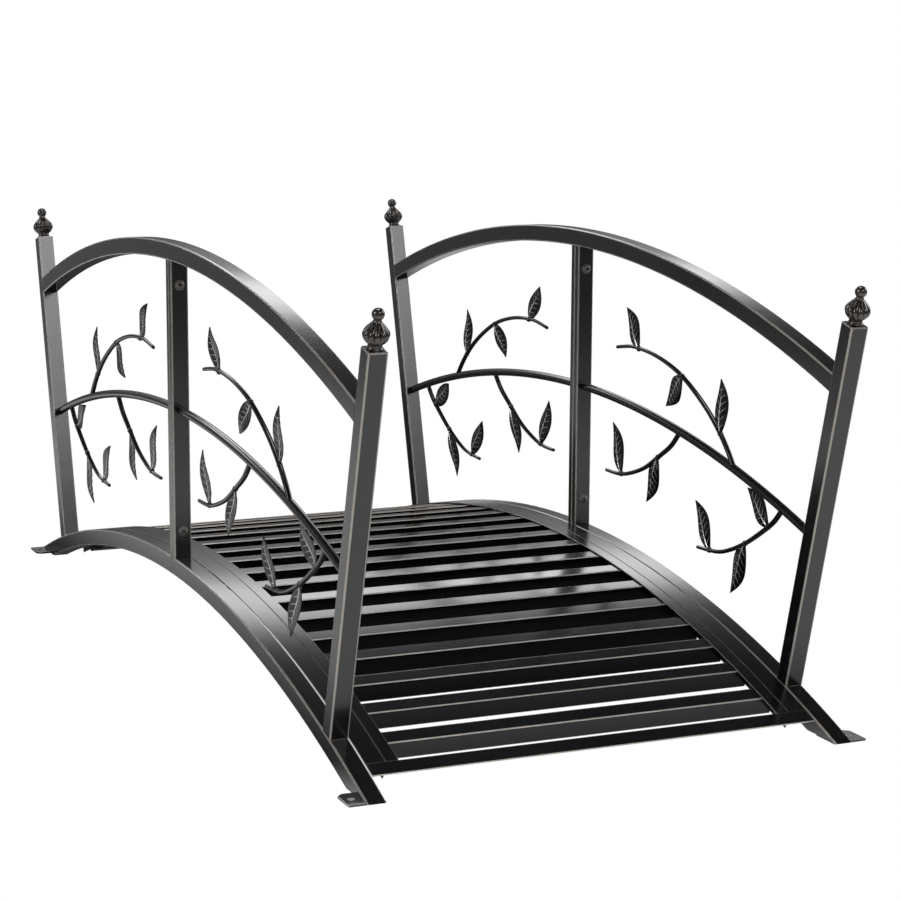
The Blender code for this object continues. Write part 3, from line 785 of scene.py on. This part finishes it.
def floorMaterial():
    # Seamless white paper: clean to the eye, and in the paint a pool of light that fades with distance and lies in
    # shade below the deck
    material = bpy.data.materials.new("whitePaperSweep")
    material.use_nodes = True
    tree = material.node_tree
    tree.nodes.remove(tree.nodes["Principled BSDF"])
    place = addNode(tree, "ShaderNodeTexCoord").outputs["Object"]
    axes = addNode(tree, "ShaderNodeSeparateXYZ", {0: place}).outputs

    def ease(value, low, high, first, last):
        return addNode(tree, "ShaderNodeMapRange", {"Value": value, "From Min": low, "From Max": high,
                                                    "To Min": first, "To Max": last},
                       interpolation_type="SMOOTHSTEP").outputs["Result"]

    def times(a, b):
        return addNode(tree, "ShaderNodeMath", {0: a, 1: b}, operation="MULTIPLY").outputs[0]

    far = addNode(tree, "ShaderNodeVectorMath", {0: place}, operation="LENGTH").outputs["Value"]
    near = ease(axes["X"], *studio["frontEdge"], studio["floorSide"], studio["floorFront"])
    fade = ease(far, *studio["farEdge"], 0.0, 1.0)
    pool = addNode(tree, "ShaderNodeMix", {"Factor": fade, "A": near, "B": studio["floorFar"]}).outputs["Result"]
    edge, shades = studio["shadeEdge"], []
    for axis, (low, high) in (("X", studio["shadeX"]), ("Y", studio["shadeY"])):
        shades += [ease(axes[axis], low - edge, low + edge, 0.0, 1.0),
                   ease(axes[axis], high - edge, high + edge, 1.0, 0.0)]
    shade = times(times(shades[0], shades[1]), times(shades[2], shades[3]))
    lit = addNode(tree, "ShaderNodeMix", {"Factor": shade, "A": pool, "B": studio["floorShade"]})
    seen = addNode(tree, "ShaderNodeLightPath").outputs["Is Camera Ray"]
    strength = addNode(tree, "ShaderNodeMix", {"Factor": seen, "A": lit.outputs["Result"], "B": 1.0})
    glow = addNode(tree, "ShaderNodeEmission", {"Color": linearOf("#ffffff"), "Strength": strength.outputs["Result"]})
    tree.links.new(glow.outputs[0], tree.nodes["Material Output"].inputs["Surface"])
    material.cycles.emission_sampling = "NONE"      # reflections find so wide a glow by themselves, with less grain
    return material


def addFloor():
    mesh = bpy.data.meshes.new("floor")
    turns = np.linspace(0, 2 * math.pi, 96, endpoint=False)
    ring = [(studio["floorRadius"] * math.cos(t), studio["floorRadius"] * math.sin(t), 0) for t in turns]
    mesh.from_pydata(ring, [], [tuple(range(len(ring)))])
    mesh.materials.append(floorMaterial())
    floor = bpy.data.objects.new("floor", mesh)
    bpy.context.scene.collection.objects.link(floor)
    floor.location.z = -studio["floorDrop"]


def addSky():
    world = bpy.data.worlds.new("studioRoom")
    bpy.context.scene.world = world
    world.use_nodes = True
    tree = world.node_tree
    way = addNode(tree, "ShaderNodeTexCoord").outputs["Generated"]
    up = addNode(tree, "ShaderNodeSeparateXYZ", {0: way}).outputs["Z"]
    ramp = addNode(tree, "ShaderNodeValToRGB", {"Fac": up})
    ramp.color_ramp.elements.remove(ramp.color_ramp.elements[1])
    for spot, value in studio["room"]:
        element = ramp.color_ramp.elements.new(spot)
        element.color = (value, value, value, 1)
    ramp.color_ramp.elements.remove(ramp.color_ramp.elements[0])
    glow = None
    for box in studio["softboxes"].values():
        light = softboxGlow(tree, way, *box)
        glow = light if glow is None else addNode(tree, "ShaderNodeMath", {0: glow, 1: light}).outputs[0]
    tint = linearOf(studio["boxTint"])[:3]
    room = addNode(tree, "ShaderNodeVectorMath", {0: glow, 1: tint, 2: ramp.outputs["Color"]},
                   operation="MULTIPLY_ADD").outputs["Vector"]
    seen = addNode(tree, "ShaderNodeLightPath").outputs["Is Camera Ray"]
    colour = addNode(tree, "ShaderNodeMix", {"Factor": seen, "A": room, "B": (1, 1, 1)}, data_type="VECTOR")
    tree.links.new(colour.outputs["Result"], tree.nodes["Background"].inputs["Color"])
    world.cycles.sampling_method = "NONE"


def softboxGlow(tree, way, bearing, height, halfWide, halfTall, edge, brightness):
    # The light that comes from one far softbox along a direction, fading out over its soft edge
    turn, lift = math.radians(bearing), math.radians(height)
    axes = [(math.cos(lift) * math.cos(turn), math.cos(lift) * math.sin(turn), math.sin(lift)),
            (-math.sin(turn), math.cos(turn), 0),
            (-math.sin(lift) * math.cos(turn), -math.sin(lift) * math.sin(turn), math.cos(lift))]
    ahead, across, up = [addNode(tree, "ShaderNodeVectorMath", {0: way, 1: axis}, operation="DOT_PRODUCT")
                         .outputs["Value"] for axis in axes]
    glow = addNode(tree, "ShaderNodeMath", {0: ahead, 1: 0.0}, operation="GREATER_THAN").outputs[0]
    for side, half in ((across, halfWide), (up, halfTall)):
        ratio = addNode(tree, "ShaderNodeMath", {0: side, 1: ahead}, operation="DIVIDE").outputs[0]
        off = addNode(tree, "ShaderNodeMath", {0: ratio}, operation="ABSOLUTE").outputs[0]
        fade = addNode(tree, "ShaderNodeMapRange", {"Value": off, "From Min": math.tan(math.radians(half - edge)),
                                                    "From Max": math.tan(math.radians(half + edge)),
                                                    "To Min": 1.0, "To Max": 0.0}, interpolation_type="SMOOTHSTEP")
        glow = addNode(tree, "ShaderNodeMath", {0: glow, 1: fade.outputs["Result"]}, operation="MULTIPLY").outputs[0]
    return addNode(tree, "ShaderNodeMath", {0: glow, 1: brightness}, operation="MULTIPLY").outputs[0]


def addOverhead():
    # One real softbox hangs over the deck
    values = studio["overhead"]
    light = bpy.data.lights.new("overhead", "AREA")
    light.shape = "RECTANGLE"
    light.size, light.size_y = values["width"], values["length"]
    light.energy = values["brightness"] * math.pi * values["width"] * values["length"]
    light.color = linearOf(studio["boxTint"])[:3]
    lamp = bpy.data.objects.new("overhead", light)
    bpy.context.scene.collection.objects.link(lamp)
    lamp.location.z = values["height"]
    lamp.visible_camera = False


addFloor()
addSky()
addOverhead()


# Where the camera stands in metres, the way it looks in degrees, and its lens in millimetres
view = {"place": (3.31549, -1.33467, 0.90528), "bearing": 156.573, "pitch": -10.015, "roll": 0.291, "lens": 98.513}


def addCamera():
    lens = bpy.data.cameras.new("camera")
    lens.lens, lens.sensor_width = view["lens"], 36.0
    camera = bpy.data.objects.new("camera", lens)
    bpy.context.scene.collection.objects.link(camera)
    turn = (Matrix.Rotation(math.radians(view["bearing"] - 90), 4, "Z")
            @ Matrix.Rotation(math.radians(90 + view["pitch"]), 4, "X")
            @ Matrix.Rotation(math.radians(view["roll"]), 4, "Z"))
    camera.matrix_world = Matrix.Translation(view["place"]) @ turn
    bpy.context.scene.camera = camera


addCamera()
bpy.context.scene.view_settings.view_transform = "Standard"
print("studio and camera")
